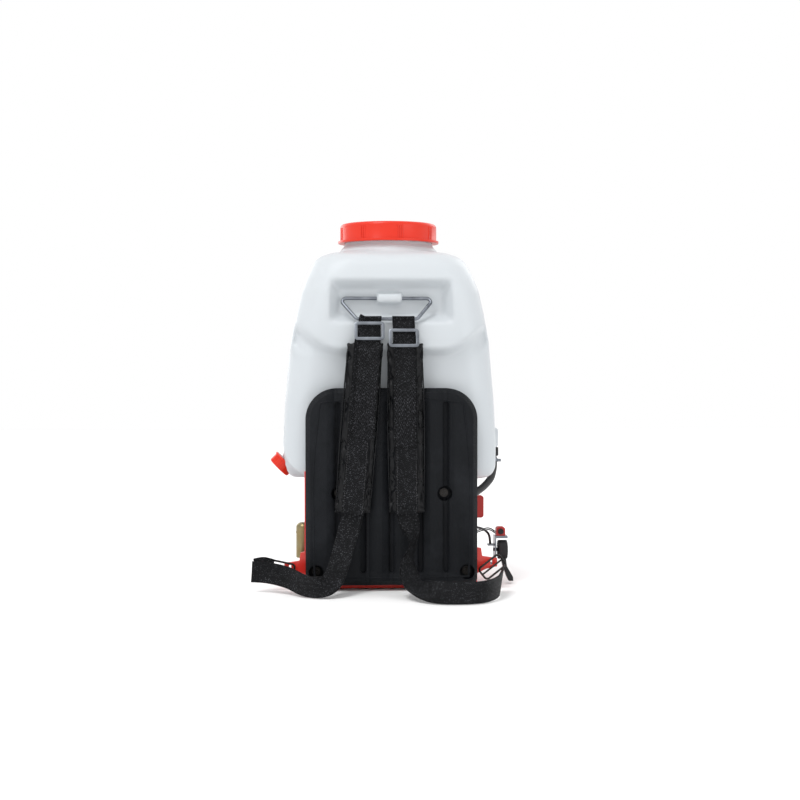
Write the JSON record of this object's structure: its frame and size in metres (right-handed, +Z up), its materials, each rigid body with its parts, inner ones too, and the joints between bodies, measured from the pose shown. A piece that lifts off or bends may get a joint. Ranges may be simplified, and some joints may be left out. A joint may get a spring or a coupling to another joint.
{
  "type": "knapsack power sprayer",
  "caption": "Knapsack power sprayer: a tall rounded tank with a screw cap over a low frame with a small engine and plunger pump, a ribbed back pad and padded carrying straps.",
  "frame": {"origin": "on the ground under the middle of the base tray's centre skid", "axes": "+Z up, -Y towards the wearer's back, +X to the right as seen from the wearer's side"},
  "size_m": [0.4614, 0.4204, 0.64],
  "materials": {
    "frame_red": "satin moulded, fine grain",
    "pad_black": "leather grain",
    "tank_white": "translucent blow-moulded",
    "cap_red": "glossy moulded",
    "rubber_black": "matt",
    "strap_pad": "glossy coated nylon",
    "webbing_black": "polypropylene weave",
    "bright_steel": "bright zinc",
    "zinc_yellow": "yellow passivated zinc",
    "cast_aluminium": "die cast",
    "dark_steel": "oiled",
    "engine_red": "glossy moulded",
    "plastic_black": "moulded",
    "hose_black": "smooth",
    "hose_clear": "clear pvc",
    "brass_body": "machined",
    "wire_black": "pvc sheath",
    "filter_white": "moulded"
  },
  "bodies": {
    "frame": {"back_frame": "frame_red", "base_tray": "frame_red", "rubber_feet": "rubber_black", "tank_posts": "dark_steel", "back_pad": "pad_black", "pad_screws": "dark_steel", "tank": "tank_white", "left_lower_webbing": "webbing_black", "right_lower_webbing": "webbing_black", "ear_buckles": "dark_steel", "control_bracket": "bright_steel", "stop_switch": "engine_red", "throttle_cable": "wire_black", "switch_wires": "wire_black", "crankcase": "cast_aluminium", "engine_mounts": "rubber_black", "hex_bolts": "bright_steel", "cylinder": "cast_aluminium", "fan_housing": "plastic_black", "ignition_coil": "plastic_black", "recoil_cover": "engine_red", "spark_plug": "bright_steel", "ignition_lead": "rubber_black", "carburettor": "cast_aluminium", "air_filter_box": "plastic_black", "muffler": "dark_steel", "gearcase": "cast_aluminium", "pump_body": "cast_aluminium", "plungers": "bright_steel", "pump_heads": "cast_aluminium", "discharge_manifold": "brass_body", "air_chamber": "zinc_yellow", "fuel_tank": "filter_white", "suction_hose": "hose_black", "return_hose": "hose_clear", "outlet_fitting": "plastic_black", "hose_clamps": "bright_steel"},
    "cap_seal": {"cap_gasket": "rubber_black"},
    "cap": {"tank_cap": "cap_red"},
    "strainer": {"filler_strainer": "filter_white"},
    "drain": {"drain_cap": "cap_red"},
    "straps": {"strap_bail": "bright_steel", "shoulder_webbings": "webbing_black", "shoulder_buckles": "bright_steel", "left_shoulder_pad": "strap_pad", "right_shoulder_pad": "strap_pad"},
    "throttle": {"throttle_lever": "plastic_black"},
    "stop": {"stop_button": "plastic_black"},
    "crank": {"crankshaft": "dark_steel", "flywheel_fan": "cast_aluminium", "clutch_shoes": "dark_steel"},
    "pump_drive": {"pump_gear": "dark_steel"},
    "drum": {"clutch_drum": "dark_steel"},
    "starter": {"starter_handle": "engine_red"},
    "pulley": {"recoil_pulley": "plastic_black"},
    "piston": {"piston": "cast_aluminium", "connecting_rod": "dark_steel"},
    "knob": {"pressure_knob": "plastic_black"},
    "cock": {"cock_lever": "engine_red"},
    "fuel_lid": {"fuel_cap": "cap_red"}
  },
  "joints": [
    {"name": "cap_lift", "type": "slide", "parent": "frame", "child": "cap_seal", "axis": [0, 0, 1], "range_m": [0, 0.2]},
    {"name": "cap_turn", "type": "hinge", "parent": "cap_seal", "child": "cap", "pos_m": [0, -0.015, 0.62], "axis": [0, 0, 1], "range_deg": [0, 540]},
    {"name": "strainer_lift", "type": "slide", "parent": "frame", "child": "strainer", "axis": [0, 0, 1], "range_m": [0, 0.13]},
    {"name": "drain_pull", "type": "slide", "parent": "frame", "child": "drain", "axis": [-0.7071, 0, -0.7071], "range_m": [0, 0.05]},
    {"name": "bail_swing", "type": "hinge", "parent": "frame", "child": "straps", "pos_m": [0, -0.117, 0.504], "axis": [1, 0, 0], "range_deg": [-30, 0]},
    {"name": "throttle_turn", "type": "hinge", "parent": "frame", "child": "throttle", "pos_m": [0.2, -0.048, 0.059], "axis": [1, 0, 0], "range_deg": [-55, 0]},
    {"name": "stop_press", "type": "slide", "parent": "frame", "child": "stop", "axis": [0, 1, 0], "range_m": [0, 0.003], "stiffness_N_per_m": 400},
    {"name": "crank_spin", "type": "hinge", "parent": "frame", "child": "crank", "pos_m": [0.05, 0.025, 0.096], "axis": [1, 0, 0], "continuous": true},
    {"name": "pump_spin", "type": "hinge", "parent": "frame", "child": "pump_drive", "pos_m": [-0.08, 0.025, 0.054], "axis": [1, 0, 0], "continuous": true},
    {"name": "drum_spin", "type": "hinge", "parent": "frame", "child": "drum", "pos_m": [-0.03, 0.025, 0.096], "axis": [1, 0, 0], "continuous": true},
    {"name": "starter_pull", "type": "slide", "parent": "frame", "child": "starter", "axis": [1, 0, 0], "range_m": [0, 0.6], "stiffness_N_per_m": 15},
    {"name": "pulley_turn", "type": "hinge", "parent": "frame", "child": "pulley", "pos_m": [0.126, 0.025, 0.096], "axis": [1, 0, 0], "range_deg": [0, 1260]},
    {"name": "piston_stroke", "type": "slide", "parent": "frame", "child": "piston", "axis": [0, 0, -1], "range_m": [0, 0.028]},
    {"name": "knob_turn", "type": "hinge", "parent": "frame", "child": "knob", "pos_m": [-0.066, 0.025, 0.117], "axis": [0, 0, 1], "range_deg": [0, 720]},
    {"name": "cock_turn", "type": "hinge", "parent": "frame", "child": "cock", "pos_m": [-0.1, 0.075, 0.104], "axis": [0, 0, 1], "range_deg": [0, 90]},
    {"name": "fuel_cap_pull", "type": "slide", "parent": "frame", "child": "fuel_lid", "axis": [0, 0.921, 0.3896], "range_m": [0, 0.05]}
  ],
  "couplings": [
    {"joint": "strainer_lift", "follows": "cap_lift", "ratio": 0.6},
    {"joint": "drum_spin", "follows": "pump_spin", "ratio": -3},
    {"joint": "pulley_turn", "follows": "starter_pull", "rad_per_m": 36}
  ]
}
